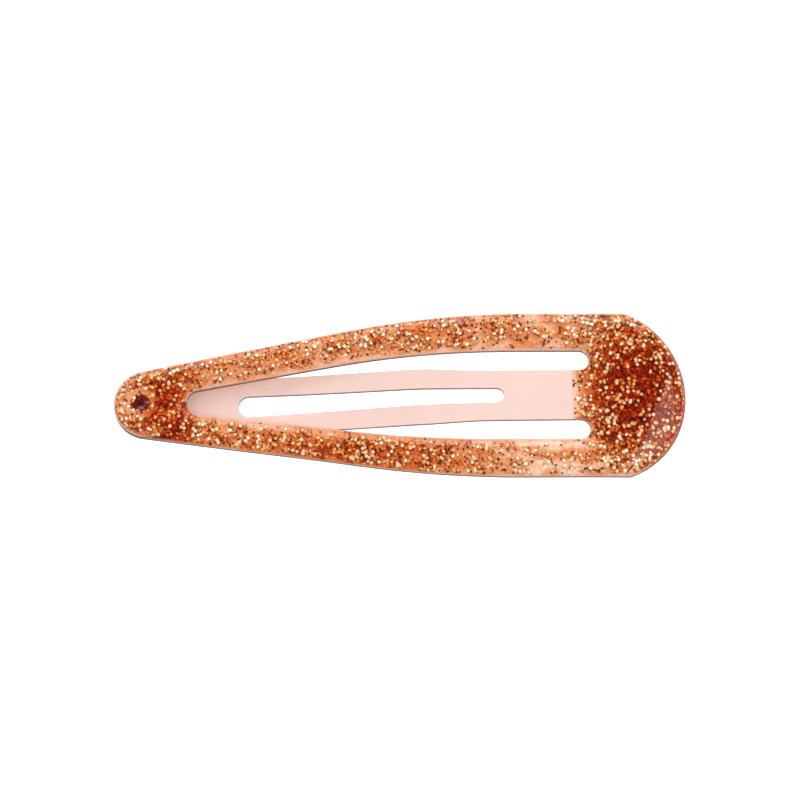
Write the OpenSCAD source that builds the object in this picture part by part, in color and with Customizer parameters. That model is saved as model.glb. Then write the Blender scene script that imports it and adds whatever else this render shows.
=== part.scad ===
// Snap hair clip: a bowed spring-steel frame whose two legs are riveted together at the tip,
// a clamping tongue that snaps out from under it, and a domed glitter resin coat on the frame.
// +X runs from the riveted tip to the broad crown, and +Z is the side that shows in the hair.
// The origin is on the surface that the clip lies on, halfway along it.

/* [Clip] */
// Overall length from the tip to the crown's rim
clip_len = 50; // [47:0.5:55]
// Width across the crown
crown_w = 14.64; // [13.8:0.02:16.6]
// How far the crown's end arc bulges past its two corners
crown_bulge = 5.1; // [4:0.1:6]
// Radius that softens the crown's corners
corner_r = 0.9; // [0.3:0.1:1.6]
// Length of the straight side between a corner and the shoulder's long curve
side_len = 8.9; // [6:0.1:11]
// How much of a leg's outer edge is curved: 1 is one long curve from the tip to the straight side
shoulder_curve = 0.69; // [0.5:0.01:0.9]
// Thickness of the sheet steel
steel_t = 0.5; // [0.4:0.02:0.6]

/* [Legs] */
// Radius of the round tabs at the riveted tip
tip_r = 2.95; // [2.7:0.05:3.2]
// Distance from the tip to the vertex of the throat between the legs
throat_from_tip = 6.4; // [6.1:0.1:7.4]
// Radius of the throat's round end
throat_r = 1; // [0.8:0.05:1.3]
// Width of the opening between the legs, beside the tongue
opening_w = 7.88; // [7.6:0.02:8.4]
// Distance from the tongue's turning line back to the opening's inner shoulder
inner_side_len = 6.3; // [4:0.1:8]
// How much of a leg's inner edge is curved: 1 is one long curve from the throat to the straight side
inner_curve = 0.8; // [0.5:0.01:0.9]
// How far the gaps beside the tongue reach into the crown past the turning line
gap_past_root = 1.2; // [1.1:0.05:2]

/* [Bow] */
// Length of the straight stretch at the tip of each leg
straight_len = 16; // [12:0.5:17]
// Distance from the tip to the highest point of the bow
peak_from_tip = 24.2; // [22:0.1:27]
// Bend radius from the straight stretch up to the peak
leg_bow_r = 120; // [100:1:160]
// Bend radius from the peak down to the rim's bend
crown_bow_r = 183; // [150:1:240]
// Length of the crown that is turned down
rim_bend_len = 6.8; // [5:0.1:8]
// Bend radius of the rim
rim_bend_r = 28.4; // [25:0.2:50]
// Length over which the legs' ends lie one above the other, from the tip
lap_len = 7.6; // [6.6:0.1:8.5]
// Length over which the legs draw back to one level
lap_fade = 12; // [9:0.5:16]

/* [Tongue] */
// Distance from the crown's rim to the line on which the tongue turns
root_from_rim = 9.7; // [9.2:0.1:10.6]
// Width of the tongue at its root
root_w = 4.44; // [4.1:0.02:4.9]
// Width of the tongue past its crease
tongue_w = 4.94; // [4.6:0.02:5.4]
// Length over which the tongue widens before its crease
flare_len = 6; // [4:0.5:9]
// Distance from the turning line to the crease
crease_from_root = 13.9; // [12:0.1:16]
// Softness of the crease: how far its corner is drawn down
crease_soft = 0.08; // [0.03:0.01:0.15]
// How the tongue falls away from the crease: 1 is straight, more is steeper at first
fall_power = 1.5; // [1.3:0.05:1.9]
// Distance from the tip to the end of the tongue
tongue_from_tip = 4.6; // [4.3:0.1:5.6]
// Distance from the tongue's end to the line on which it lies on the surface
toe_len = 1.9; // [1.2:0.1:2.5]
// Bend radius of the upturned toe
toe_r = 6; // [4:0.5:10]
// Radius of the tongue's rounded end corners
nose_r = 1.7; // [1:0.1:2]
// Turn of the tongue in its plane, in degrees: the slight skew that the stamping has
tongue_skew = 0.25; // [0:0.05:0.4]
// Width of the slot at its toe end
slot_toe_w = 1.84; // [1.5:0.02:2.1]
// Width of the slot at its root end
slot_root_w = 1.28; // [1:0.02:1.5]
// Distance from the turning line to the slot
slot_from_root = 6.25; // [5:0.25:8]
// Length of the slot
slot_len = 23.2; // [19:0.2:24]

/* [Coat] */
// Thickness of the resin at its edges
coat_edge = 0.14; // [0.1:0.01:0.2]
// Thickness of the resin along the middle of the legs
coat_leg_h = 0.52; // [0.4:0.01:0.6]
// Thickness of the resin over the crown
coat_crown_h = 0.64; // [0.5:0.01:0.8]
// Width of the rounded shoulder along the resin's edges
coat_shoulder = 1.5; // [1:0.1:1.8]
// Bare margin between the steel's edges and the resin
coat_margin = 0.08; // [0.04:0.01:0.2]
// How far the resin laps over the turning line of the tongue
coat_lap = 0.25; // [0.1:0.05:0.4]
// Depth of the dimple in the resin over the eyelet
dimple_depth = 0.1; // [0.04:0.01:0.14]

/* [Eyelet] */
// Distance from the tip to the eyelet's axis
eyelet_from_tip = 2.35; // [2.2:0.05:2.6]
// Radius of the hole down the middle of the eyelet
eyelet_bore_r = 0.7; // [0.6:0.02:0.8]
// Wall of the eyelet's barrel
eyelet_wall = 0.25; // [0.18:0.01:0.3]
// Radius of the eyelet's flanges
flange_r = 1.5; // [1.35:0.05:1.7]
// Thickness of the eyelet's flanges
flange_t = 0.2; // [0.15:0.01:0.22]

/* [Fit] */
// Gap between pieces that lie on or in each other
seat_gap = 0.03; // [0.02:0.005:0.05]
// Gap between the two riveted tabs
tab_gap = 0.05; // [0.03:0.01:0.08]
// Radial clearance of the tongue's rolled root in the crown's groove
root_gap = 0.05; // [0.03:0.01:0.08]
// How much thicker than the sheet the tongue's rolled root is, on each side
root_swell = 0.01; // [0.005:0.005:0.02]

/* [Hidden] */
$fn = 64;

tip_x = -clip_len / 2;
rim_x = clip_len / 2;
half_w = crown_w / 2;
half_t = steel_t / 2;
blank_h = 24; // height of the blanks that the sheets are cut from
past_end = 1; // how far a blank runs past the clip
crown_join = 0.2; // how far each half of the frame crosses the middle line
strips = 60; // flat strips that a bow is made of

// Plan of the frame
tip_cx = tip_x + tip_r;
end_r = (crown_bulge ^ 2 + half_w ^ 2) / (2 * crown_bulge);
end_cx = rim_x - end_r;
shoulder_x = rim_x - crown_bulge - side_len;
shoulder_r = shoulder_curve * longest_curve(shoulder_x - tip_cx, half_w, tip_r);
corner_cy = half_w - corner_r;
corner_cx = end_cx + sqrt((end_r - corner_r) ^ 2 - corner_cy ^ 2);
corner_angle = atan2(corner_cy, corner_cx - end_cx);
root_x = rim_x - root_from_rim;
stub_half_w = root_w / 2;
stub_angle = asin(stub_half_w / end_r); // where the crown's end arc is as wide as the root
opening_half_w = opening_w / 2;
throat_cx = tip_x + throat_from_tip + throat_r;
inner_shoulder_x = root_x - inner_side_len;
inner_shoulder_r = inner_curve * longest_curve(inner_shoulder_x - throat_cx, opening_half_w, throat_r);
gap_r = (opening_half_w - stub_half_w) / 2;
gap_cx = root_x + gap_past_root - gap_r;
gap_cy = stub_half_w + gap_r;

// Steps along each stretch of the frame's two outlines: tip, leg, shoulder, side and crown
tip_n = 6;
leg_n = 10;
shoulder_n = 8;
side_n = 4;
corner_n = 3;
end_n = 10;
gap_n = corner_n + end_n;
root_n = 3;

// Side view of the frame
peak_x = tip_x + peak_from_tip;
ramp_x = tip_x + straight_len;
ramp_slope = (peak_x - ramp_x) / sqrt(leg_bow_r ^ 2 - (peak_x - ramp_x) ^ 2);
bend_x = rim_x - rim_bend_len;
bend_angle = asin((bend_x - peak_x) / crown_bow_r);
rim_cx = bend_x - rim_bend_r * sin(bend_angle);
lap_h = (steel_t + tab_gap) / 2;

// Side view of the tongue
crease_x = root_x - crease_from_root;
tongue_end_x = tip_x + tongue_from_tip;
toe_x = tongue_end_x + toe_len;
toe_z = half_t;
slot_root_x = root_x - slot_from_root;

// Eyelet
eyelet_x = tip_x + eyelet_from_tip;
barrel_r = eyelet_bore_r + eyelet_wall;
stack_half = steel_t + tab_gap / 2;
tab_tilt = atan(ramp_slope);

// Points of the resin's cross-section, from its outer edge to its inner one
across_n = 8;
coat_fade = 8; // length over which the legs' resin thickens to the crown's
dimple_r = 0.8;
tab_relief = 0.02; // extra room that the resin leaves over the upper tab

// 0 at u = 0 and below, 1 at u = 1 and above, smooth between
function ease(u) = let(c = max(0, min(1, u))) c * c * (3 - 2 * c);

function soft_min(a, b, e) = (a + b - sqrt((a - b) ^ 2 + 4 * e ^ 2)) / 2;

function arc(cx, cy, r, from, to, n) =
    [for (i = [0:n]) let(a = from + (to - from) * i / n) [cx + r * cos(a), cy + r * sin(a)]];

// Points between two places, without the two themselves
function between(p, q, n) = [for (i = [1:1:n - 1]) p + (q - p) * i / n];

function without_first(points) = [for (i = [1:1:len(points) - 1]) points[i]];

function mirrored(points) =
    [for (i = [len(points) - 1:-1:0]) [points[i][0], -points[i][1]]];

// Radius of a curve that touches a round end of radius r on the middle line, and a straight side
// at height y that starts at a distance from it
function longest_curve(distance, y, r) = (distance ^ 2 + y ^ 2 - r ^ 2) / (2 * (y - r));

// Angle at which a line leaves two circles that it touches, the first of them on the middle line
function tangent_angle(x1, r1, x2, y2, r2) =
    atan2(x2 - x1, -y2) - acos((r2 - r1) / norm([x2 - x1, y2]));

// Half of an outline that runs from a round end on the middle line, along a straight leg, round
// a long shoulder and along a straight side. Each joint between stretches is one point.
function leg_line(cx, r, sx, side_y, side_r, side_end) =
    let(sy = side_y - side_r,
        lean = tangent_angle(cx, r, sx, sy, side_r),
        tip = arc(cx, 0, r, 180, 90 + lean, tip_n),
        shoulder = arc(sx, sy, side_r, 90 + lean, 90, shoulder_n))
    concat(tip,
           between(tip[tip_n], shoulder[0], leg_n),
           shoulder,
           between([sx, side_y], [side_end, side_y], side_n));

// Outer outline of the frame, inset by a margin, from the tip to the middle of the rim
function outer_half(margin) =
    concat(leg_line(tip_cx, tip_r - margin, shoulder_x, half_w - margin, shoulder_r - margin,
                    corner_cx),
           arc(corner_cx, corner_cy, corner_r - margin, 90, corner_angle, corner_n),
           without_first(arc(end_cx, 0, end_r - margin, corner_angle, stub_angle, end_n)),
           without_first(arc(end_cx, 0, end_r - margin, stub_angle, 0, root_n + 1)));

// Outline of the opening, let out by a margin, from the throat to the middle of the tongue's root
function inner_half(margin, lap) =
    let(y = stub_half_w - margin)
    concat(leg_line(throat_cx, throat_r + margin, inner_shoulder_x, opening_half_w + margin,
                    inner_shoulder_r + margin, gap_cx),
           arc(gap_cx, gap_cy, gap_r + margin, 90, -90, gap_n),
           [for (i = [0:root_n]) [root_x - lap, y * (1 - i / root_n)]]);

// Height of the bow's middle surface below its peak
function bow_drop(x) =
    x < ramp_x ? leg_bow_r * (1 - cos(tab_tilt)) + (ramp_x - x) * ramp_slope
    : x < peak_x ? leg_bow_r - sqrt(leg_bow_r ^ 2 - (peak_x - x) ^ 2)
    : x < bend_x ? crown_bow_r - sqrt(crown_bow_r ^ 2 - (x - peak_x) ^ 2)
    : crown_bow_r * (1 - cos(bend_angle)) + rim_bend_r * cos(bend_angle)
      - sqrt(rim_bend_r ^ 2 - (x - rim_cx) ^ 2);

rim_slope = tan(asin((rim_x - rim_cx) / rim_bend_r));
peak_z = bow_drop(rim_x) + half_t * sqrt(1 + rim_slope ^ 2);

function bow_z(x) = peak_z - bow_drop(x);

// Height of the middle surface of a leg: side is 1 for the upper leg and -1 for the lower one
function leg_z(x, side) =
    bow_z(x) + side * lap_h * (1 - ease((x - tip_x - lap_len) / lap_fade));

function toe_lift(x) = (toe_x - x) ^ 2 / (2 * toe_r);

function tongue_fall(x) =
    let(share = max(0, x - toe_x) / (crease_x - toe_x))
    toe_z + (bow_z(crease_x) - toe_z) * share ^ fall_power;

function tongue_z(x) =
    x < toe_x ? toe_z + toe_lift(x) : soft_min(bow_z(x), tongue_fall(x), crease_soft);

// Slope at x of the curve that heights give
function slope_of(heights, x) =
    let(step = 0.01) (heights(x + step) - heights(x - step)) / (2 * step);

// Point of a sheet's face at x, off the middle surface that heights give: above is 1 or -1
function face_point(heights, x, above) =
    let(slope = slope_of(heights, x))
    [x, heights(x)] + above * half_t / sqrt(1 + slope ^ 2) * [-slope, 1];

// A bent sheet as wide as the clip, whose middle surface follows heights from one x to another
module bent_sheet(heights, from, to) {
    xs = [for (i = [0:strips]) from + (to - from) * i / strips];
    rotate([90, 0, 0])
        linear_extrude(2 * crown_w, center = true)
            polygon(concat([for (x = xs) face_point(heights, x, 1)],
                           [for (i = [strips:-1:0]) face_point(heights, xs[i], -1)]));
}

// Plan of one half of the frame, with the whole round tab at its tip
module half_plan(side) {
    intersection() {
        difference() {
            polygon(concat(outer_half(0), mirrored(outer_half(0))));
            polygon(concat(inner_half(0, 0), mirrored(inner_half(0, 0))));
        }
        union() {
            translate([tip_x - past_end, side > 0 ? 0 : -crown_w])
                square([clip_len + 2 * past_end, crown_w]);
            translate([root_x, -crown_join]) square([root_from_rim + past_end, 2 * crown_join]);
        }
    }
    translate([tip_cx, 0]) circle(tip_r);
}

module on_tabs() {
    translate([eyelet_x, 0, bow_z(eyelet_x)]) rotate([0, -tab_tilt, 0]) children();
}

// The bead along the tongue's root, or the groove that it turns in
module root_bead(r, width) {
    translate([root_x, 0, bow_z(root_x)])
        rotate([90, 0, 0]) cylinder(r = r, h = width, center = true);
}

module spring_frame() {
    color("#e8c9bd")
        difference() {
            union() {
                for (side = [1, -1])
                    intersection() {
                        translate([0, 0, -blank_h / 2]) linear_extrude(blank_h) half_plan(side);
                        bent_sheet(function(x) leg_z(x, side), tip_x - past_end, rim_x + past_end);
                    }
            }
            on_tabs() cylinder(r = barrel_r + seat_gap, h = 4 * stack_half, center = true);
            root_bead(half_t + root_swell + root_gap, root_w + gap_r);
        }
}

function tongue_half_w(x) =
    stub_half_w + (tongue_w - root_w) / 2 * (1 - ease((x - crease_x) / flare_len));

module tongue_plan() {
    nose_cx = tongue_end_x + nose_r;
    nose_cy = tongue_half_w(nose_cx) - nose_r;
    sides_n = 16;
    half = concat(arc(nose_cx, nose_cy, nose_r, 180, 90, 8),
                  [for (i = [1:sides_n]) let(x = nose_cx + (root_x - nose_cx) * i / sides_n)
                      [x, tongue_half_w(x)]]);
    toe_end_r = slot_toe_w / 2;
    root_end_r = slot_root_w / 2;
    translate([root_x, 0]) rotate(tongue_skew) translate([-root_x, 0])
        difference() {
            polygon(concat(half, mirrored(half)));
            polygon(concat(arc(slot_root_x - slot_len + toe_end_r, 0, toe_end_r, 270, 90, 12),
                           arc(slot_root_x - root_end_r, 0, root_end_r, 90, -90, 12)));
        }
}

module clamp_tongue() {
    color("#f6d8d0")
        union() {
            intersection() {
                translate([0, 0, -blank_h / 2]) linear_extrude(blank_h) tongue_plan();
                bent_sheet(function(x) tongue_z(x), tongue_end_x - past_end, root_x);
            }
            root_bead(half_t + root_swell, root_w - 2 * seat_gap);
        }
}

module eyelet_rivet() {
    flange_z = stack_half + seat_gap;
    top_z = flange_z + flange_t;
    round_off = flange_t / 2;
    upper = [[barrel_r, flange_z], [flange_r, flange_z], [flange_r, top_z - round_off],
             [flange_r - round_off, top_z], [eyelet_bore_r + round_off, top_z],
             [eyelet_bore_r, top_z - round_off]];
    color("#c9856a")
        on_tabs()
            rotate_extrude()
                polygon(concat(upper, [for (i = [len(upper) - 1:-1:0]) [upper[i][0], -upper[i][1]]]));
}

// Room that the resin leaves for the upper tab and for the eyelet's flange on it
module tab_room() {
    on_tabs() {
        translate([tip_cx - eyelet_x, 0, -blank_h / 2])
            cylinder(r = tip_r + seat_gap + stack_half * sin(tab_tilt),
                     h = blank_h / 2 + stack_half + seat_gap + tab_relief);
        cylinder(r = flange_r + seat_gap, h = stack_half + flange_t + 2 * seat_gap);
    }
}

// The resin is a ring of cross-sections, from the tip along one leg, round the crown and back.
module glitter_coat() {
    outer = outer_half(coat_margin);
    inner = inner_half(coat_margin, coat_lap);
    last = len(outer) - 1;
    sections = concat([for (k = [0:last]) [outer[k], inner[k], 1]],
                      [for (k = [last - 1:-1:1]) [[outer[k][0], -outer[k][1]],
                                                  [inner[k][0], -inner[k][1]], -1]]);
    shares = [for (j = [0:across_n]) (1 - cos(180 * j / across_n)) / 2];
    points = [for (s = sections)
                  for (v = concat(shares, [for (j = [across_n:-1:0]) shares[j]]))
                      s[0] + (s[1] - s[0]) * v];
    ring = 2 * (across_n + 1);
    count = len(sections);
    surface = [for (k = [0:count - 1]) for (j = [0:ring - 1])
                   let(p = points[k * ring + j],
                       v = shares[j <= across_n ? j : ring - 1 - j],
                       w = norm(sections[k][1] - sections[k][0]))
                   [p[0], p[1], j <= across_n ? coat_top(p, sections[k][2], v, w)
                                              : steel_top(p[0], sections[k][2]) + seat_gap]];
    faces = [for (k = [0:count - 1]) for (j = [0:ring - 1])
                 let(k2 = (k + 1) % count, j2 = (j + 1) % ring)
                 each [[k * ring + j, k2 * ring + j2, k * ring + j2],
                       [k * ring + j, k2 * ring + j, k2 * ring + j2]]];
    color("#d9743a")
        difference() {
            polyhedron(surface, faces, convexity = 8);
            tab_room();
        }
}

function steel_top(x, side) =
    leg_z(x, side) + half_t * sqrt(1 + slope_of(function(u) leg_z(u, side), x) ^ 2);

// Height of the resin's top: a dome across each cross-section that is w wide at share v of it
function coat_top(p, side, v, w) =
    let(shoulder = min(coat_shoulder, w / 2),
        inward = min(1, w * min(v, 1 - v) / shoulder),
        dome = sqrt(1 - (1 - inward) ^ 2),
        crown = ease((p[0] - root_x + coat_fade) / coat_fade),
        full = coat_leg_h + (coat_crown_h - coat_leg_h) * crown,
        draped = 1 - ease((p[0] - tip_cx) / (lap_len - tip_r + throat_r)),
        base = side > 0 ? steel_top(p[0], 1)
             : draped * steel_top(p[0], 1) + (1 - draped) * steel_top(p[0], -1),
        dimple = dimple_depth * exp(-((p[0] - eyelet_x) ^ 2 + p[1] ^ 2) / dimple_r ^ 2))
    base + coat_edge + (full - coat_edge) * dome - dimple;

spring_frame();
clamp_tongue();
eyelet_rivet();
glitter_coat();
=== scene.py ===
# %% [markdown]
# # A snap hair clip with a glitter resin coat
#
# The clip is two bent pieces of sheet steel: a sprung frame, whose two legs meet at an eyelet, and
# a slotted tongue that snaps out from under it. Both have a pale pink lacquer. On top of the frame
# is a dome of clear orange resin, full of small metallic flakes. The steel's shapes come from the
# CAD model. Blender adds what makes the clip look real: soft edges, lacquer, resin and glitter.

# %% Load the CAD model as the frame that everything else fits
import math
import random

import bmesh
import bpy
from mathutils import Matrix, Vector, noise
from mathutils.bvhtree import BVHTree


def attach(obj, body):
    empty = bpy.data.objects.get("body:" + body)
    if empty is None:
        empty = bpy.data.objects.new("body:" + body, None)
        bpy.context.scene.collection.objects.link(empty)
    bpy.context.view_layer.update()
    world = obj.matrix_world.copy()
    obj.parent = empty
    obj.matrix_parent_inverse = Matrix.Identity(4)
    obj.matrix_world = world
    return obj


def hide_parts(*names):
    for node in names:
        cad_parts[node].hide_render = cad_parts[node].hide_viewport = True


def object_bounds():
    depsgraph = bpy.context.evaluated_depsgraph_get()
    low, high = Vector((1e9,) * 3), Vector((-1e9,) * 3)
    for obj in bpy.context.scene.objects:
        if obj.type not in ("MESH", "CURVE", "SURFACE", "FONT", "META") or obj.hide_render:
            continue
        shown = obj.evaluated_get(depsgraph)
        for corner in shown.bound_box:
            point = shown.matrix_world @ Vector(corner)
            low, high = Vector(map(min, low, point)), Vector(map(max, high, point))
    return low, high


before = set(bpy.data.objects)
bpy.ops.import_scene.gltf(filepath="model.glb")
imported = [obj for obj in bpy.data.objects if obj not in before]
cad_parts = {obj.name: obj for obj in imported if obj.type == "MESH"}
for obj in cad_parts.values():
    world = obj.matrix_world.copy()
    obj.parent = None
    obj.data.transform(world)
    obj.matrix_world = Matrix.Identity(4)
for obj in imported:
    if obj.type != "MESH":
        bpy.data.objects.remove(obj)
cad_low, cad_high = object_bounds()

MM = 0.001
print("CAD box in mm:", [round(c / MM, 2) for c in (*cad_low, *cad_high)])

# %% [markdown]
# ## Camera
#
# The photograph looks down on the clip from about 14 degrees off the vertical, through a long lens,
# so the two legs look almost equally wide. A camera is easier to place by its direction and its
# distance from a target than by typing its angles, so a small helper does that. The clip also lies
# about a degree round from level in the picture, which is the camera's azimuth.

# %% Place the camera
LENS = 200
FIELD = 69.87 * MM  # how much of the clip's plane the picture takes in, from side to side
TARGET = (-0.03 * MM, 0.05 * MM, 1.5 * MM)


def direction(azimuth, elevation):
    """Unit vector from the clip towards a place: azimuth 0 is the near side, 90 the crown's."""
    turn, rise = math.radians(azimuth), math.radians(elevation)
    level = math.cos(rise)
    return Vector((math.sin(turn) * level, -math.cos(turn) * level, math.sin(rise)))


def aim(item, azimuth, elevation, distance, target, roll=0):
    """Puts a camera or a lamp that far from the target and turns it to face the target."""
    towards = direction(azimuth, elevation)
    item.location = Vector(target) + towards * distance
    item.rotation_euler = (-towards).to_track_quat("-Z", "Y").to_euler()
    item.rotation_euler.rotate_axis("Z", math.radians(roll))
    bpy.context.scene.collection.objects.link(item)


lens = bpy.data.cameras.new("product_lens")
lens.lens = LENS
lens.clip_start, lens.clip_end = 0.01, 10
camera = bpy.data.objects.new("product_camera", lens)
aim(camera, -1.22, 76, FIELD * LENS / lens.sensor_width, TARGET)
bpy.context.scene.camera = camera
print("camera at", [round(c, 4) for c in camera.location])

# %% [markdown]
# ## Floor
#
# Small jewellery is often photographed on clear glass above a lit white sheet, so that no shadow
# shows. The floor here is that sheet: matt paper that also glows. It lies low enough for the
# opened tongue to hang free above it. The glass would not be seen, so it is left out. Two short
# helpers make a material and fill in its nodes, since every finish in this lesson needs them.

# %% Lay the floor
SHEET_Z = -15 * MM
SHEET_REACH = 3  # in metres, so that it fills every view


def material(name):
    """A new node material, with its node tree and its output node."""
    made = bpy.data.materials.new(name)
    made.use_nodes = True
    made.node_tree.nodes.clear()
    output = made.node_tree.nodes.new("ShaderNodeOutputMaterial")
    return made, made.node_tree, output


def node(tree, kind, **values):
    """A new shader node with some of its inputs or settings filled in."""
    made = tree.nodes.new(kind)
    for key, value in values.items():
        label = key.replace("_", " ")
        if label in made.inputs:
            made.inputs[label].default_value = value
        else:
            setattr(made, key, value)
    return made


sheet, tree, output = material("lit_white_sheet")
glow = node(tree, "ShaderNodeEmission", Color=(1, 1, 1, 1), Strength=0.92)
paper = node(tree, "ShaderNodeBsdfDiffuse", Color=(0.5, 0.5, 0.5, 1))
both = tree.nodes.new("ShaderNodeAddShader")
tree.links.new(glow.outputs[0], both.inputs[0])
tree.links.new(paper.outputs[0], both.inputs[1])
tree.links.new(both.outputs[0], output.inputs["Surface"])

grid = bmesh.new()
bmesh.ops.create_grid(grid, x_segments=1, y_segments=1, size=SHEET_REACH,
                      matrix=Matrix.Translation((0, 0, SHEET_Z)))
floor_mesh = bpy.data.meshes.new("floor")
grid.to_mesh(floor_mesh)
grid.free()
floor = bpy.data.objects.new("floor", floor_mesh)
floor_mesh.materials.append(sheet)
bpy.context.scene.collection.objects.link(floor)
print("floor at", round(SHEET_Z / MM, 1), "mm")

# %% [markdown]
# ## Light
#
# Most of the light comes from a wide fill lamp overhead. A glossy dark orange stays rich only if
# it mirrors something dark, so the fill lamp is hidden from reflections, as a polarising filter
# would do, and the room is nearly dark. Five softboxes round the clip give the gloss its shapes.
# The one past the crown draws the grey band on the crown's rim: a glossy surface shows a lamp
# where it faces halfway between lamp and camera.

# %% Set the lamps
LAMP_AWAY = 0.5  # in metres, from the clip

world = bpy.data.worlds.new("studio")
world.use_nodes = True
world.node_tree.nodes["Background"].inputs["Color"].default_value = (0.05, 0.05, 0.053, 1)
bpy.context.scene.world = world
bpy.context.scene.view_settings.view_transform = "Standard"


def softbox(name, azimuth, elevation, width, height, radiance, tint, roll=0):
    """A rectangular soft lamp, given by where it stands and how bright its face is."""
    lamp = bpy.data.lights.new(name, "AREA")
    lamp.shape = "RECTANGLE"
    lamp.size, lamp.size_y = width, height
    lamp.energy = radiance * math.pi * width * height
    lamp.color = tint
    stand = bpy.data.objects.new(name, lamp)
    aim(stand, azimuth, elevation, LAMP_AWAY, (0, 0, 0), roll)
    return stand


softbox("crown_softbox", 92, 45, 0.22, 0.32, 1.7, (1.0, 0.98, 0.95), roll=18)
softbox("back_softbox", 180, 44, 0.8, 0.24, 2.1, (1.0, 0.98, 0.97))
softbox("left_softbox", -95, 42, 0.5, 0.3, 0.8, (1.0, 0.98, 0.97))
softbox("near_softbox", 10, 50, 1.0, 0.4, 0.12, (1.0, 0.98, 0.96))
softbox("right_softbox", 66, 22, 0.7, 0.2, 0.9, (1.0, 0.98, 0.96))
fill = softbox("fill_softbox", 0, 90, 0.6, 0.6, 2.5, (1.0, 0.98, 0.97))
fill.visible_glossy = False
print("lamps:", len(bpy.data.lights))

# %% [markdown]
# ## Steel pieces
#
# Stamped sheet never has knife edges: the die and the lacquer leave a tiny round on each. The CAD
# mesh is loose triangles, so a copy is welded, its flat triangles are joined into clean faces, and
# the bevel operator rounds the corners. The faces of the cut edge get an attribute of their own,
# because there is hardly any lacquer there, and because they are painted darker as shade. Rounding
# leaves thin faces beside wide ones, and a Weighted Normal modifier keeps the wide ones looking
# flat. The hidden CAD node does the physics.

# %% Helpers that copy, weld and soften the steel
WELD_REACH = 0.0005 * MM
EDGE_ROUND = 0.09 * MM
SHARP = math.radians(40)
NEARLY_FLAT = math.radians(0.1)
NEARLY_LEVEL = 0.98  # the height of the unit normal of the sheet's upper and lower faces, at least


def welded(name):
    """A bmesh copy of a CAD node, with its loose triangles welded together."""
    shape = bmesh.new()
    shape.from_mesh(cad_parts[name].data)
    bmesh.ops.remove_doubles(shape, verts=shape.verts, dist=WELD_REACH)
    return shape


def piece(shape, name, finish, body):
    """Turns a bmesh into a smooth-shaded piece that rides on a CAD body."""
    mesh = bpy.data.meshes.new(name)
    shape.to_mesh(mesh)
    shape.free()
    mesh.materials.append(finish)
    mesh.polygons.foreach_set("use_smooth", [True] * len(mesh.polygons))
    made = bpy.data.objects.new(name, mesh)
    bpy.context.scene.collection.objects.link(made)
    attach(made, body)
    print(name, len(mesh.polygons), "faces")
    return made


def sheet_metal(cad_name, name, finish, body):
    """A steel piece from a CAD node: joined faces, rounded corners and a marked cut edge."""
    shape = welded(cad_name)
    bmesh.ops.dissolve_limit(shape, angle_limit=NEARLY_FLAT, verts=shape.verts, edges=shape.edges)
    corners = [e for e in shape.edges if e.is_manifold and e.calc_face_angle() > SHARP]
    bmesh.ops.bevel(shape, geom=corners, offset=EDGE_ROUND, offset_type="OFFSET", segments=3,
                    profile=0.5, affect="EDGES", clamp_overlap=True, material=-1)
    shape.normal_update()
    cut = shape.faces.layers.float.new("cut_edge")
    for face in shape.faces:
        # Side faces: the bare cut edge, which the lacquer shader also paints darker as shade
        face[cut] = 1.0 if abs(face.normal.z) < NEARLY_LEVEL else 0.0
    made = piece(shape, name, finish, body)
    flat = made.modifiers.new("flat_faces", "WEIGHTED_NORMAL")
    flat.mode = "FACE_AREA"
    flat.weight = 50
    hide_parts(cad_name)


# %% [markdown]
# ## Lacquer
#
# The lacquer is a pale pink film over bright steel. A Principled shader with a little metal under
# a glossy coat gives that. Real lacquer is never quite flat or even: a wide noise shifts the pink
# a little, a fine one makes the surface wavy, and a few dust specks are caught in it. The cut edge
# is nearly bare, so its coat and its shine are turned off, and its colour is a dull bare steel,
# made darker still by painted shade on these side faces.

# %% Helpers that join nodes
def mixed(tree, factor, first, second, method="MIX"):
    """A colour mix. Each of the three may be a socket or a fixed value."""
    made = node(tree, "ShaderNodeMix", data_type="RGBA", blend_type=method)
    for slot, value in ((0, factor), (6, first), (7, second)):
        if isinstance(value, bpy.types.NodeSocket):
            tree.links.new(value, made.inputs[slot])
        else:
            made.inputs[slot].default_value = value
    return made.outputs[2]


def worked_out(tree, operation, first, second):
    """The result of one Math node. Each of the two may be a socket or a number."""
    made = node(tree, "ShaderNodeMath", operation=operation)
    for slot, value in enumerate((first, second)):
        if isinstance(value, bpy.types.NodeSocket):
            tree.links.new(value, made.inputs[slot])
        else:
            made.inputs[slot].default_value = value
    return made.outputs[0]


def ramp(tree, factor, stops, steps="LINEAR"):
    """A colour ramp node with the given (place, colour) stops. A fourth number is the alpha."""
    made = tree.nodes.new("ShaderNodeValToRGB")
    made.color_ramp.interpolation = steps
    tree.links.new(factor, made.inputs[0])
    bar = made.color_ramp.elements
    while len(bar) < len(stops):
        bar.new(0.5)
    for stop, (spot, colour) in zip(bar, stops):
        stop.position = spot
        stop.color = colour if len(colour) == 4 else (*colour, 1)
    return made


def texture(tree, kind, place, **values):
    """A texture node that is read at a place socket."""
    made = node(tree, kind, **values)
    tree.links.new(place, made.inputs["Vector"])
    return made


def attribute(tree, name):
    """The value that the mesh keeps under that name."""
    return node(tree, "ShaderNodeAttribute", attribute_name=name).outputs["Fac"]


# %% Mix the pink lacquer and make the steel pieces
# Dull bare steel, darkened further as painted shade on the side faces
BARE_SHADED_EDGE = (0.27, 0.175, 0.145, 1)
SHINE = 0.5

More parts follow.
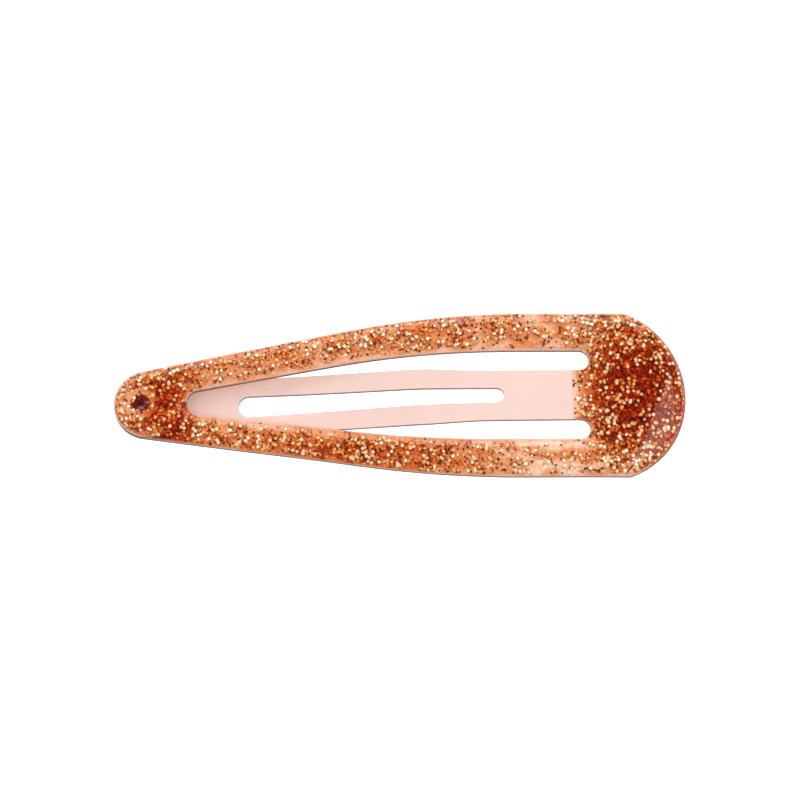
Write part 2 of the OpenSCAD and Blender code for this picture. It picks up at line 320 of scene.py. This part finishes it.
lacquer, tree, output = material("pink_lacquer")
place = node(tree, "ShaderNodeTexCoord").outputs["Object"]
wide = texture(tree, "ShaderNodeTexNoise", place, Scale=160.0, Detail=2.0)
fine = texture(tree, "ShaderNodeTexNoise", place, Scale=900.0, Detail=3.0)
dust = texture(tree, "ShaderNodeTexVoronoi", place, Scale=420.0)
pink = ramp(tree, wide.outputs["Fac"], [(0.3, (0.78, 0.57, 0.51)), (0.7, (0.82, 0.605, 0.545))])
specks = ramp(tree, dust.outputs["Distance"], [(0.03, (0.5, 0.36, 0.32)), (0.045, (1, 1, 1))])
colour = mixed(tree, 1.0, pink.outputs[0], specks.outputs[0], "MULTIPLY")
colour = mixed(tree, attribute(tree, "cut_edge"), colour, BARE_SHADED_EDGE)
lacquered = worked_out(tree, "SUBTRACT", 1.0, attribute(tree, "cut_edge"))
polish = worked_out(tree, "MULTIPLY", lacquered, SHINE)
bump = node(tree, "ShaderNodeBump", Strength=0.1, Distance=0.02 * MM)
tree.links.new(fine.outputs["Fac"], bump.inputs["Height"])
shader = node(tree, "ShaderNodeBsdfPrincipled", Metallic=0.1, Roughness=0.36,
              Coat_Roughness=0.1)
tree.links.new(colour, shader.inputs["Base Color"])
tree.links.new(polish, shader.inputs["Coat Weight"])
tree.links.new(polish, shader.inputs["Specular IOR Level"])
tree.links.new(bump.outputs[0], shader.inputs["Normal"])
tree.links.new(shader.outputs[0], output.inputs["Surface"])

sheet_metal("spring_frame", "frame_steel", lacquer, "frame")
sheet_metal("clamp_tongue", "tongue_steel", lacquer, "tongue")

# %% [markdown]
# ## Eyelet
#
# The eyelet is a short tube of brass under a coppery lacquer. The resin hides its upper end, so
# it shows only from below. It keeps its CAD mesh and just needs a finish, which a fine noise
# makes slightly uneven.

# %% Finish the eyelet
copper, tree, output = material("lacquered_copper")
place = node(tree, "ShaderNodeTexCoord").outputs["Object"]
worn = texture(tree, "ShaderNodeTexNoise", place, Scale=1500.0, Detail=3.0)
shade = ramp(tree, worn.outputs["Fac"], [(0.3, (0.5, 0.24, 0.17)), (0.7, (0.66, 0.36, 0.27))])
shader = node(tree, "ShaderNodeBsdfPrincipled", Metallic=0.6, Roughness=0.32)
tree.links.new(shade.outputs[0], shader.inputs["Base Color"])
tree.links.new(shader.outputs[0], output.inputs["Surface"])
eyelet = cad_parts["eyelet_rivet"]
eyelet.data.materials.clear()
eyelet.data.materials.append(copper)
print("eyelet has", len(eyelet.data.polygons), "faces")

# %% [markdown]
# ## Form of the resin
#
# The resin was poured, so its top is one smooth dome. The CAD coat is welded, its triangles are
# joined in pairs, and a Subdivision Surface smooths it, while creases hold its rim. The mesh is
# made finer where the eyelet's hole dents the top.

# %% Smooth the resin
EYELET_X = -22.65  # in mm
RIM_CREASE = 0.85
FINE_REACH = 1.3 * MM

coat = welded("glitter_coat")
bmesh.ops.join_triangles(coat, faces=coat.faces, angle_face_threshold=math.radians(30),
                         angle_shape_threshold=math.radians(80))
crease = coat.edges.layers.float.new("crease_edge")
for edge in coat.edges:
    if edge.is_manifold and edge.calc_face_angle() > SHARP:
        edge[crease] = RIM_CREASE
rough_coat = bpy.data.meshes.new("rough_coat")
coat.to_mesh(rough_coat)
coat.free()
holder = bpy.data.objects.new("rough_coat", rough_coat)
bpy.context.scene.collection.objects.link(holder)
smooth = holder.modifiers.new("smooth", "SUBSURF")
smooth.levels = smooth.render_levels = 2
smooth_coat = bpy.data.meshes.new_from_object(
    holder.evaluated_get(bpy.context.evaluated_depsgraph_get()))
bpy.data.objects.remove(holder)

form = bmesh.new()
form.from_mesh(smooth_coat)
fine_edges = {}
for face in form.faces:
    middle = face.calc_center_median()
    over_axis = Vector((EYELET_X * MM, 0, middle.z))
    if face.normal.z > 0.5 and (middle - over_axis).length < FINE_REACH:
        fine_edges.update(dict.fromkeys(face.edges))
bmesh.ops.subdivide_edges(form, edges=list(fine_edges), cuts=2, use_grid_fill=True)
form.normal_update()
smooth_tree = BVHTree.FromBMesh(form)
print("smoothed coat has", len(form.faces), "faces")

# %% [markdown]
# ## Plumb lines
#
# Many steps from here on ask how high or how deep the resin is at some place. A BVH tree answers
# that fast: it sorts a mesh's faces in space, so that a ray finds the one that it meets without
# trying them all. Rays straight down and straight up give the resin's top and foot. Two small
# curves, one that eases from 0 to 1 and one that is a smooth hump, shape nearly everything else.

# %% Helpers that read the resin
ABOVE = 10 * MM
DOWN = Vector((0, 0, -1))
PROBE_IN = 0.012 * MM
WALL_BELOW, WALL_FADE = 0.2, 0.4  # a wall's normal rises less, and the wall fades out above


def ease(share):
    """0 below 0, 1 above 1, smooth between."""
    held = max(0.0, min(1.0, share))
    return held * held * (3 - 2 * held)


def hump(x, y, middle_x, middle_y, reach_x, reach_y):
    """A smooth rise round a place. The place and its reach are in mm, x and y in metres."""
    return math.exp(-((x / MM - middle_x) / reach_x) ** 2 - ((y / MM - middle_y) / reach_y) ** 2)


def top_of(surface, x, y):
    """Where a plumb line from above meets a surface, and which way the surface faces there."""
    return surface.ray_cast(Vector((x, y, ABOVE)), DOWN)[:2]


def foot_of(surface, x, y):
    """Where the same line, followed from below, first meets the surface."""
    return surface.ray_cast(Vector((x, y, -ABOVE)), -DOWN)[0]


def top_and_foot(surface, vertex):
    """Both at a vertex, read a hair inside it, so that a plumb line doesn't miss the rim."""
    inside = vertex.co - vertex.normal * PROBE_IN
    return top_of(surface, inside.x, inside.y)[0], foot_of(surface, inside.x, inside.y)


def wall_share(vertex):
    """1 on the resin's side walls, 0 on its top."""
    return 1 - ease((vertex.normal.z - WALL_BELOW) / WALL_FADE)


over_eyelet = top_of(smooth_tree, EYELET_X * MM, 0)[0] - foot_of(smooth_tree, EYELET_X * MM, 0)
print("resin over the eyelet in mm:", round(over_eyelet.z / MM, 3))

# %% [markdown]
# ## Work the top
#
# The real dome is a little fuller over the crown, where the most resin ran together, it sinks over
# the eyelet's hole, and it thins out where it ran onto the tongue's root. Its walls stand out a
# hair, because a poured coat bulges at the edge of what it lies on. Each of these is a small move
# of the vertices, which is simpler to tune than sculpting and comes out the same every time.

# %% Work the top
ROOT_END_X, ROOT_FULL_X, ROOT_HALF_WIDTH, ROOT_MARGIN = 15.05, 18.4, 2.2, 0.5  # in mm
CROWN_SWELL, CROWN_FULL_DEPTH, EYELET_SINK = 0.2, 0.5, 0.1  # in mm
RUN_OUT_THINNING = 0.92  # share of the depth that is lost where the resin ends
LIP_DROP, LIP_FROM = 0.02 * MM, 0.9
WALL_OUT = 0.05 * MM


def run_out(x, y):
    """1 where the resin thins to nothing on the tongue's root, 0 away from it."""
    if x < (ROOT_END_X - ROOT_MARGIN) * MM:
        return 0.0
    along = 1 - ease((x / MM - ROOT_END_X) / (ROOT_FULL_X - ROOT_END_X))
    beside = ease((abs(y) / MM - ROOT_HALF_WIDTH + ROOT_MARGIN) / (2 * ROOT_MARGIN))
    return along * (1 - beside)


for vertex in form.verts:
    top, foot = top_and_foot(smooth_tree, vertex)
    if top is None or foot is None:
        continue
    x, y = vertex.co.x, vertex.co.y
    depth = top.z - foot.z
    thin = run_out(x, y)
    if vertex.normal.z > WALL_BELOW and vertex.co.z > foot.z + 0.5 * depth:
        full = ease(depth / MM / CROWN_FULL_DEPTH)
        swell = CROWN_SWELL * hump(x, y, 21.5, 0, 3.5, 5.0) * full
        sink = EYELET_SINK * hump(x, y, EYELET_X, 0, 0.55, 0.55)
        vertex.co.z += (swell - sink) * MM
    vertex.co.z -= thin * RUN_OUT_THINNING * max(0, vertex.co.z - foot.z)
    vertex.co.z -= LIP_DROP if thin > LIP_FROM else 0.0
    vertex.co.xy += vertex.normal.xy * WALL_OUT * wall_share(vertex)
form.normal_update()
shell_tree = BVHTree.FromBMesh(form)
print("resin form has", len(form.faces), "faces")

# %% [markdown]
# ## Across the legs
#
# Tint and flakes both lie a little thicker towards the outer edge of each leg. The legs taper and
# curve, so a fixed distance would not do. Plumb lines in columns across the clip find where each
# leg begins and ends, and every place can then be told how far outwards on its leg it is.

# %% Measure the legs in columns
COLUMN_STEP = 0.25 * MM

COLUMNS = []
for k in range(round((cad_high.x - cad_low.x) / COLUMN_STEP) + 1):
    runs, met_before = [], False
    for j in range(round((cad_high.y - cad_low.y) / COLUMN_STEP) + 1):
        y = cad_low.y + j * COLUMN_STEP
        met = top_of(shell_tree, cad_low.x + k * COLUMN_STEP, y)[0] is not None
        if met and not met_before:
            runs.append([y, y + COLUMN_STEP])
        elif met:
            runs[-1][1] = y
        met_before = met
    COLUMNS.append(runs)


def outward(x, y):
    """0 on the inner edge of a leg, 1 on its outer edge, and a half in the crown's middle."""
    column = COLUMNS[max(0, min(len(COLUMNS) - 1, round((x - cad_low.x) / COLUMN_STEP)))]
    for low_y, high_y in column:
        if low_y - COLUMN_STEP <= y <= high_y + COLUMN_STEP:
            across = (y - low_y) / (high_y - low_y)
            return max(0.0, min(1.0, across if y > 0 else 1 - across))
    return 0.5


print("columns across the clip:", len(COLUMNS))

# %% [markdown]
# ## Pools and drifts
#
# Poured resin isn't even. The dye and the flakes gathered in two pools, on the crown and behind
# the eyelet, in a moat round the eyelet's flange, and in loose drifts along the legs, and left
# pale places beside the crown. Two short lists of smooth humps, one for the dye and one for the
# flakes, say where. They were set by comparison with the photograph, and a fixed noise breaks
# both up.

# %% Say where the dye and the flakes gathered
# How much stronger the dye is, the middle of the place, and its reach along x and y, in mm
DYE_PLACES = [
    (2.1, 20.4, -0.1, 2.8, 4.0),  # heart of the crown's pool
    (3.9, -20.2, -0.3, 1.8, 2.2),  # pool behind the eyelet
    (1.6, 21.5, 0, 5, 4.8),  # all of the crown
    (1.0, -4.0, -5, 10, 2.5),  # middle of the near leg
    (0.25, 2, 5.5, 4, 3),  # middle of the far leg
    (0.2, -12, 4, 4, 3),  # far leg, nearer to the tip
    (-0.7, 12.8, -6, 5.5, 3),  # near leg, beside the crown
    (-0.25, 14.5, 6, 3.5, 3),  # far leg, beside the crown
    (-0.6, 20, -6.5, 4, 2.2),  # near shoulder of the crown
    (-0.3, 19, 5.5, 5, 2),  # far shoulder of the crown
]
# The same for how much thicker the flakes lie
FLAKE_PLACES = [
    (0.4, -20.2, -0.2, 1.6, 2.4),  # pool behind the eyelet
    (0.3, -4, -5.5, 9, 3),  # middle of the near leg
    (0.1, -8, 5.5, 10, 3),  # far leg, nearer to the tip
    (-0.25, 13, -6, 5, 3),  # near leg, beside the crown
    (-0.15, 12.5, 6, 5, 3),  # far leg, beside the crown
]
BASE_DYE, BASE_FLAKES, CROWN_FLAKES = 0.48, 0.5, 0.45
MOAT_DYE, MOAT_FLAKES = 0.8, 0.35
MOAT_R, MOAT_WIDTH = 1.9, 0.35  # in mm
DRIFT_DYE, BETWEEN_DRIFTS = 0.8, 0.55


def eyelet_ring(x, y):
    """1 on the moat round the eyelet's flange, where the resin is deep, 0 away from it."""
    from_moat = math.hypot(x / MM - EYELET_X, y / MM) - MOAT_R
    return math.exp(-(from_moat / MOAT_WIDTH) ** 2)


def drift(x, y):
    """0 to 1: how far the flakes ran together there, in patches a few mm wide."""
    return ease(0.5 + 0.9 * noise.noise(Vector((0.65 * x / MM, 1.0 * y / MM, 7.0))))


def strength(x, y):
    """How strongly the resin is tinted there."""
    level = BASE_DYE
    for gain, *spot in DYE_PLACES:
        level += gain * hump(x, y, *spot)
    level += MOAT_DYE * eyelet_ring(x, y)
    level += DRIFT_DYE * drift(x, y)
    return level * (0.8 + 0.35 * outward(x, y))


def richness(x, y):
    """How thick the flakes lie there."""
    crown = hump(x, y, 20.5, 0, 4.5, 6.5)
    level = BASE_FLAKES + CROWN_FLAKES * crown + MOAT_FLAKES * eyelet_ring(x, y)
    for gain, *spot in FLAKE_PLACES:
        level += gain * hump(x, y, *spot)
    level *= 1 - BETWEEN_DRIFTS * (1 - crown) * (1 - drift(x, y))
    level *= 1 - 0.9 * hump(x, y, EYELET_X, 0, 1.1, 1.1)  # few lie over the hole
    level *= 0.8 + 0.4 * outward(x, y)
    return max(0.0, level * (1 - 0.45 * ease(1.6 * run_out(x, y))))


for label, x, y in (("crown", 20.4, 0), ("throat", -20.2, 0), ("near leg", 13, -6)):
    print(label, "dye", round(strength(x * MM, y * MM), 2), "flakes", round(richness(x * MM, y * MM), 2))

# %% [markdown]
# ## Clear top of the resin
#
# A glass shader would be right for the resin, but it is slow and noisy over thousands of flakes.
# What the eye reads is a gloss on top and a view into the depth, so the top is a shell that is
# see-through face on and mirrors more at a slant. Layer Weight's Facing, raised to the fifth
# power, is the usual short form of that law. Light on its way out of the resin meets the shell
# from behind, and passes freely. The walls are duller than the top, so each vertex keeps whether
# it is on a wall, and the shader takes most of the gloss off there.

# %% Make the resin shell
FACE_ON_GLOSS, SLANT_GLOSS = 0.045, 0.9
WALL_DULLS = 0.8  # share of the gloss that a wall loses

clear_top, tree, output = material("clear_resin_top")
clear = node(tree, "ShaderNodeBsdfTransparent", Color=(1.0, 0.96, 0.92, 1))
mirror = node(tree, "ShaderNodeBsdfAnisotropic", Color=(1, 1, 1, 1), Roughness=0.06)
facing = node(tree, "ShaderNodeLayerWeight", Blend=0.5).outputs["Facing"]
slant = worked_out(tree, "POWER", facing, 5.0)
gloss = worked_out(tree, "ADD", worked_out(tree, "MULTIPLY", slant, SLANT_GLOSS), FACE_ON_GLOSS)
behind = node(tree, "ShaderNodeNewGeometry").outputs["Backfacing"]
gloss = worked_out(tree, "MULTIPLY", gloss, worked_out(tree, "SUBTRACT", 1.0, behind))
dull = worked_out(tree, "MULTIPLY", attribute(tree, "wall"), WALL_DULLS)
gloss = worked_out(tree, "MULTIPLY", gloss, worked_out(tree, "SUBTRACT", 1.0, dull))
see = tree.nodes.new("ShaderNodeMixShader")
tree.links.new(gloss, see.inputs[0])
tree.links.new(clear.outputs[0], see.inputs[1])
tree.links.new(mirror.outputs[0], see.inputs[2])
tree.links.new(see.outputs[0], output.inputs["Surface"])

shell_form = form.copy()
wall_layer = shell_form.verts.layers.float.new("wall")
for vertex in shell_form.verts:
    vertex[wall_layer] = wall_share(vertex)
shell = piece(shell_form, "resin_shell", clear_top, "frame")
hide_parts("glitter_coat")

# %% [markdown]
# ## Deep layer of the resin
#
# Seen through the clear top, the lower part of the resin is a bed of orange that deepens to
# red-brown where the resin is thick, and lets the pink steel glow through where it is thin. Along
# the crown's rim and the legs' outer edges, most on the near side, it is deepened further as
# painted shade. The bed is a second copy of the form, with its top brought down to about a third
# of the depth. Each vertex keeps four numbers: how much tinted resin lies over it, painted shade
# included, how thick the resin is, how thickly the flakes drifted there, and whether it is on a
# wall, where the finish paints shade.

# %% Lower the bed under the shell
BED_SHARE = 0.36
BED_LIFT, BED_INSET = 0.005 * MM, 0.015 * MM
DEEPEST = 1.2  # in mm of resin of strength 1, where the tint stops deepening
FULL_DRIFT = 0.6
RIM_REACH, RIM_SPOKES = 0.6 * MM, 8
CROWN_FROM, CROWN_FADE = 15, 4  # in mm
# Extra dye nearly all over and on the tongue's root, and painted shade on the crown's rim
STAIN_ALL, STAIN_ROOT, RIM_SHADE = 0.05, 0.32, 0.55  # in mm of resin
# Painted shade on the legs' outer edges, more on the near side
NEAR_EDGE_SHADE, FAR_EDGE_SHADE = 0.08, 0.03  # on the outer edges of the two legs, likewise


def rim(x, y):
    """0 well inside the resin's outline, about a half on it."""
    turns = [k * math.tau / RIM_SPOKES for k in range(RIM_SPOKES)]
    tips = [(x + RIM_REACH * math.cos(t), y + RIM_REACH * math.sin(t)) for t in turns]
    return sum(top_of(shell_tree, *tip)[0] is None for tip in tips) / RIM_SPOKES


def dye_and_edge_shade(x, y):
    """Extra dye in the bed, in mm of resin: a little nearly everywhere and more on the tongue's root,
    plus painted shade on the crown's rim and the legs' outer edges, most on the near side.
    """
    ragged = 0.45 * noise.noise(Vector((0.0, 1.3 * y / MM, 3.0)))
    root = run_out(x, y) * ease((x / MM - ROOT_END_X - 0.15 - ragged) / 0.7)
    # Painted shade along the crown's rim
    edge = rim(x, y) * ease((x / MM - CROWN_FROM) / CROWN_FADE)
    outer = ease((outward(x, y) - 0.55) / 0.4)
    outer *= NEAR_EDGE_SHADE if y < 0 else FAR_EDGE_SHADE
    return STAIN_ALL * (1 - run_out(x, y)) + STAIN_ROOT * root + RIM_SHADE * edge + outer


def under(x, y, top, z, more=0.0):
    """How much tinted resin lies over a place, as a share of the deepest."""
    over = (top - z) / MM + more
    return max(0.0, min(1.0, over * strength(x, y) / DEEPEST))


bed_form = form.copy()
form.free()
layers = bed_form.verts.layers.float
under_layer, thick_layer, drifted_layer, bed_wall_layer = (
    layers.new(name) for name in ("under", "thick", "drifted", "wall"))
for vertex in bed_form.verts:
    top, foot = top_and_foot(shell_tree, vertex)
    if top is None or foot is None:
        continue
    bed_top = foot.z + BED_SHARE * (top.z - foot.z)
    if vertex.co.z > foot.z + 0.5 * (top.z - foot.z):
        vertex.co.z = bed_top
    else:
        vertex.co.z += BED_LIFT
    x, y = vertex.co.x, vertex.co.y
    vertex[under_layer] = under(x, y, top.z, bed_top, dye_and_edge_shade(x, y))
    vertex[thick_layer] = max(0.0, min(1.0, (top.z - foot.z) / MM))
    vertex[drifted_layer] = min(1.0, richness(x, y) / FULL_DRIFT)
    vertex[bed_wall_layer] = wall_share(vertex) * (1 - run_out(x, y)) ** 2
for vertex in bed_form.verts:
    vertex.co.xy -= vertex.normal.xy * BED_INSET
bed_form.normal_update()
bed_tree = BVHTree.FromBMesh(bed_form)
deepest_dye = max(vertex[under_layer] for vertex in bed_form.verts)
print("tint at the deepest place of the bed:", round(deepest_dye, 2))

# %% [markdown]
# ## Finish of the deep layer
#
# Light fades in a dye by the same share with each step, and blue goes first, then green. So the
# bed's own colour, pale as the steel under it, is multiplied by a ramp whose stops are worked out
# from that law. The flakes that sank to the bottom are too many to model, and a Voronoi pattern
# paints them: each of its cells picks one foil colour, or none, and the darkest and palest of these
# also stand for painted shade and painted glints. The bed's walls are painted darker towards a
# brown-grey, as shade. A ragged dark disc, darkest in its middle, shows the eyelet's hole: the deep
# dyed resin in it, with painted shade down the bore.

# %% Mix the bed's finish
ABSORPTION = (0.75, 2.85, 5.3)  # in each mm of resin, for red, green and blue
TINT_STEPS = 5
# A brown-grey painted on the bed's walls as shade, and how much of it
WALL_SHADE, WALL_SHADE_SHARE = (0.3, 0.14, 0.08, 1), 0.6
HOLE_SCALE = 820.0  # with the noise's mean of a half, the disc ends 0.8 mm from the axis
HOLE_RAGGED = 0.6


def tinted(tree, colour):
    """A colour as it looks through the resin over it, from what the mesh keeps as under."""
    stops = []
    for k in range(TINT_STEPS + 1):
        passed = tuple(math.exp(-a * DEEPEST * k / TINT_STEPS) for a in ABSORPTION)
        stops.append((k / TINT_STEPS, passed))
    filter_colour = ramp(tree, attribute(tree, "under"), stops)
    return mixed(tree, 1.0, colour, filter_colour.outputs[0], "MULTIPLY")


bed_finish, tree, output = material("orange_resin_bed")
place = node(tree, "ShaderNodeTexCoord").outputs["Object"]
cloud = texture(tree, "ShaderNodeTexNoise", place, Scale=700.0, Detail=2.0)
ground = ramp(tree, cloud.outputs["Fac"], [(0.35, (0.8, 0.61, 0.54)), (0.65, (0.8, 0.53, 0.42))])
sunk = texture(tree, "ShaderNodeTexVoronoi", place, Scale=4200.0, voronoi_dimensions="2D")
cell = node(tree, "ShaderNodeSeparateColor")
tree.links.new(sunk.outputs["Color"], cell.inputs[0])
# The darkest cells also stand for painted shade, the palest for painted glints, on sunk flakes
foils = ramp(tree, cell.outputs[0], [
    (0.0, (0.22, 0.05, 0.01, 1)), (0.2, (0.55, 0.18, 0.05, 1)), (0.4, (1.0, 0.5, 0.16, 1)),
    (0.58, (1.0, 0.9, 0.7, 1)), (0.75, (0.9, 0.5, 0.3, 0))], "CONSTANT")
dots = ramp(tree, sunk.outputs["Distance"], [(0.42, (1, 1, 1)), (0.5, (0, 0, 0))])
deep_enough = ramp(tree, attribute(tree, "thick"), [(0.15, (0, 0, 0)), (0.35, (1, 1, 1))])
cover = worked_out(tree, "MULTIPLY", foils.outputs["Alpha"], dots.outputs[0])
cover = worked_out(tree, "MULTIPLY", cover, deep_enough.outputs[0])
cover = worked_out(tree, "MULTIPLY", cover, attribute(tree, "drifted"))
colour = tinted(tree, mixed(tree, cover, ground.outputs[0], foils.outputs[0]))
# Painted shade: the walls are darkened towards that brown-grey
wall_shade = worked_out(tree, "MULTIPLY", attribute(tree, "wall"), WALL_SHADE_SHARE)
colour = mixed(tree, wall_shade, colour, WALL_SHADE)

# The eyelet's hole as a ragged dark disc: the deep dyed resin in it, and painted shade
off_hole = node(tree, "ShaderNodeMapping", Location=(-EYELET_X * MM, 0, 0), Scale=(1, 1, 0))
tree.links.new(place, off_hole.inputs["Vector"])
radius = node(tree, "ShaderNodeVectorMath", operation="LENGTH")
tree.links.new(off_hole.outputs[0], radius.inputs[0])
ragged = texture(tree, "ShaderNodeTexNoise", place, Scale=5200.0, Detail=2.0)
uneven = worked_out(tree, "MULTIPLY", ragged.outputs["Fac"], HOLE_RAGGED)
away = worked_out(tree, "MULTIPLY", radius.outputs["Value"], HOLE_SCALE)
away = worked_out(tree, "ADD", away, uneven)
hole = ramp(tree, away, [(0.92, (1, 1, 1)), (1.0, (0, 0, 0))])
# Darker towards the middle: painted shade down the bore
dark = ramp(tree, away, [(0.4, (0.05, 0.002, 0.001)), (0.9, (0.15, 0.012, 0.004))])
colour = mixed(tree, hole.outputs[0], colour, dark.outputs[0])
shader = node(tree, "ShaderNodeBsdfPrincipled", Roughness=0.55, Specular_IOR_Level=0.05)
tree.links.new(colour, shader.inputs["Base Color"])
tree.links.new(shader.outputs[0], output.inputs["Surface"])
piece(bed_form, "resin_bed", bed_finish, "frame")

# %% [markdown]
# ## Glitter flakes
#
# Glitter is cut from foil in small hexagons. Each flake here is a real hexagonal prism, 0.02 mm
# thick, made by create_cone with six segments. They are scattered with a fixed seed, so that each
# run gives the same clip. A plumb line finds the resin's top and bed under each place, and the
# flake is put between the two, tilted a little, as it would settle.

# %% Helpers that place the flakes
FLAKE_T = 0.02 * MM
FLAKE_SIDES = 6
MOST_TILT = math.radians(15)
BARE_STRIP, KEPT_OFF = 0.45 * MM, 0.75  # the legs' inner edges, and the share that keeps off
dice = random.Random(38)


def clear_of_edge(x, y, margin):
    """True where the resin reaches at least that far all round."""
    turns = [k * math.tau / FLAKE_SIDES for k in range(FLAKE_SIDES)]
    ring = [(margin * math.cos(t), margin * math.sin(t)) for t in turns]
    if x < ROOT_END_X * MM and dice.random() < KEPT_OFF:
        ring.append((0, -math.copysign(BARE_STRIP, y)))
    return all(top_of(shell_tree, x + dx, y + dy)[0] is not None for dx, dy in ring)


def scatter(count, radius, margin, share):
    """Places for that many flakes: a matrix, a radius and the resin over it for each."""
    places = []
    while len(places) < count:
        x, y = dice.uniform(cad_low.x, cad_high.x), dice.uniform(cad_low.y, cad_high.y)
        r = dice.uniform(*radius) * MM
        reach = 0.9 * r + dice.uniform(*margin) * MM
        thinner = 1 - share[0] * 0.6 * hump(x, y, 20.5, 0, 3, 4)
        if dice.random() > thinner * richness(x, y) or not clear_of_edge(x, y, reach):
            continue
        top, slope = top_of(shell_tree, x, y)
        low, _ = top_of(bed_tree, x, y)
        if top is None or low is None:
            continue
        room = max(0, top.z - low.z - 2 * FLAKE_T)
        lean = min(MOST_TILT, math.asin(min(1, room / 2 / r))) * dice.random() ** 0.5
        lift = r * math.sin(lean)
        z = low.z + FLAKE_T + lift + dice.uniform(*share) * max(0, room - 2 * lift)
        turn = dice.uniform(0, math.tau)
        upwards = Vector((0, 0, 1)).lerp(slope, 0.7).normalized()
        lay = upwards.to_track_quat("Z", "Y").to_matrix().to_4x4()
        swing = Matrix.Rotation(lean, 4, Vector((math.cos(turn), math.sin(turn), 0)))
        spin = Matrix.Rotation(dice.uniform(0, math.tau), 4, "Z")
        pose = Matrix.Translation((x, y, z)) @ lay @ swing @ spin
        places.append((pose, r, under(x, y, top.z, z)))
    return places


print("flakes are", round(FLAKE_T / MM, 3), "mm thick")

# %% [markdown]
# ## Foils
#
# Flakes of one colour are one piece, so five pieces hold them all. They are made in small batches,
# because adding to a big bmesh is slow. Every flake keeps how much tinted resin lies over it, and
# its foil is multiplied by the same law as the bed, so a sunken flake glows deep orange and one
# near the top is bright. Ember flakes are many, small and low, cream ones few, large and high.
# The ember foil's near-black is partly painted shade, for flakes turned from the lamps, and the
# cream foil's near-white partly painted glints, for flakes turned towards them.

# %% Scatter the flakes
BATCH = 120
# How many of each kind, then the ranges of their radius and their gap to the edge in mm, and of
# their height in the clear resin, from 0 on the bed to 1 under the top
GLITTER = {
    "ember_and_shade": {"count": 2500, "radius": (0.08, 0.13), "margin": (0.0, 0.08), "share": (0.0, 0.75)},
    "copper": {"count": 1200, "radius": (0.09, 0.14), "margin": (0.0, 0.1), "share": (0.0, 0.7)},
    "amber": {"count": 1250, "radius": (0.09, 0.15), "margin": (0.0, 0.1), "share": (0.0, 0.7)},
    "gold": {"count": 850, "radius": (0.1, 0.15), "margin": (0.0, 0.12), "share": (0.3, 0.95)},
    "cream_and_glint": {"count": 430, "radius": (0.13, 0.18), "margin": (0.0, 0.15), "share": (0.88, 1.0)},
}
# The two shades that each foil wanders between
SHADES = {
    # Ember: a dark foil, made darker as painted shade
    "ember_and_shade": ((0.15, 0.03, 0.008), (0.36, 0.1, 0.03)),
    "copper": ((0.85, 0.42, 0.28), (0.95, 0.58, 0.42)),
    "amber": ((0.98, 0.42, 0.1), (1.0, 0.56, 0.2)),
    "gold": ((1.0, 0.7, 0.3), (1.0, 0.84, 0.5)),
    # Cream: a pale foil, made brighter as painted glints
    "cream_and_glint": ((1.0, 0.93, 0.72), (1.0, 0.98, 0.9)),
}


def glitter(name, finish, places):
    """One piece of many flat-sided flakes."""
    whole = bmesh.new()
    for start in range(0, len(places), BATCH):
        batch = bmesh.new()
        for pose, r, _ in places[start:start + BATCH]:
            bmesh.ops.create_cone(batch, cap_ends=True, segments=FLAKE_SIDES, radius1=r, radius2=r,
                                  depth=FLAKE_T, matrix=pose)
        mesh = bpy.data.meshes.new("batch")
        batch.to_mesh(mesh)
        batch.free()
        whole.from_mesh(mesh)
        bpy.data.meshes.remove(mesh)
    made = piece(whole, name, finish, "frame")
    made.data.polygons.foreach_set("use_smooth", [False] * len(made.data.polygons))
    kept = made.data.attributes.new("under", "FLOAT", "POINT")
    kept.data.foreach_set("value", [over for _, _, over in places for _ in range(2 * FLAKE_SIDES)])


def foil(name, dark, light):
    """A foil finish whose colour wanders between two shades over the clip."""
    made, tree, output = material(name)
    place = node(tree, "ShaderNodeTexCoord").outputs["Object"]
    wander = texture(tree, "ShaderNodeTexNoise", place, Scale=2600.0, Detail=1.0)
    shade = ramp(tree, wander.outputs["Fac"], [(0.35, dark), (0.65, light)])
    shader = node(tree, "ShaderNodeBsdfPrincipled", Metallic=0.3, Roughness=0.4,
                  Specular_IOR_Level=0.05)
    tree.links.new(tinted(tree, shade.outputs[0]), shader.inputs["Base Color"])
    tree.links.new(shader.outputs[0], output.inputs["Surface"])
    return made


for kind, spread in GLITTER.items():
    glitter("flakes_" + kind, foil("foil_" + kind, *SHADES[kind]), scatter(**spread))
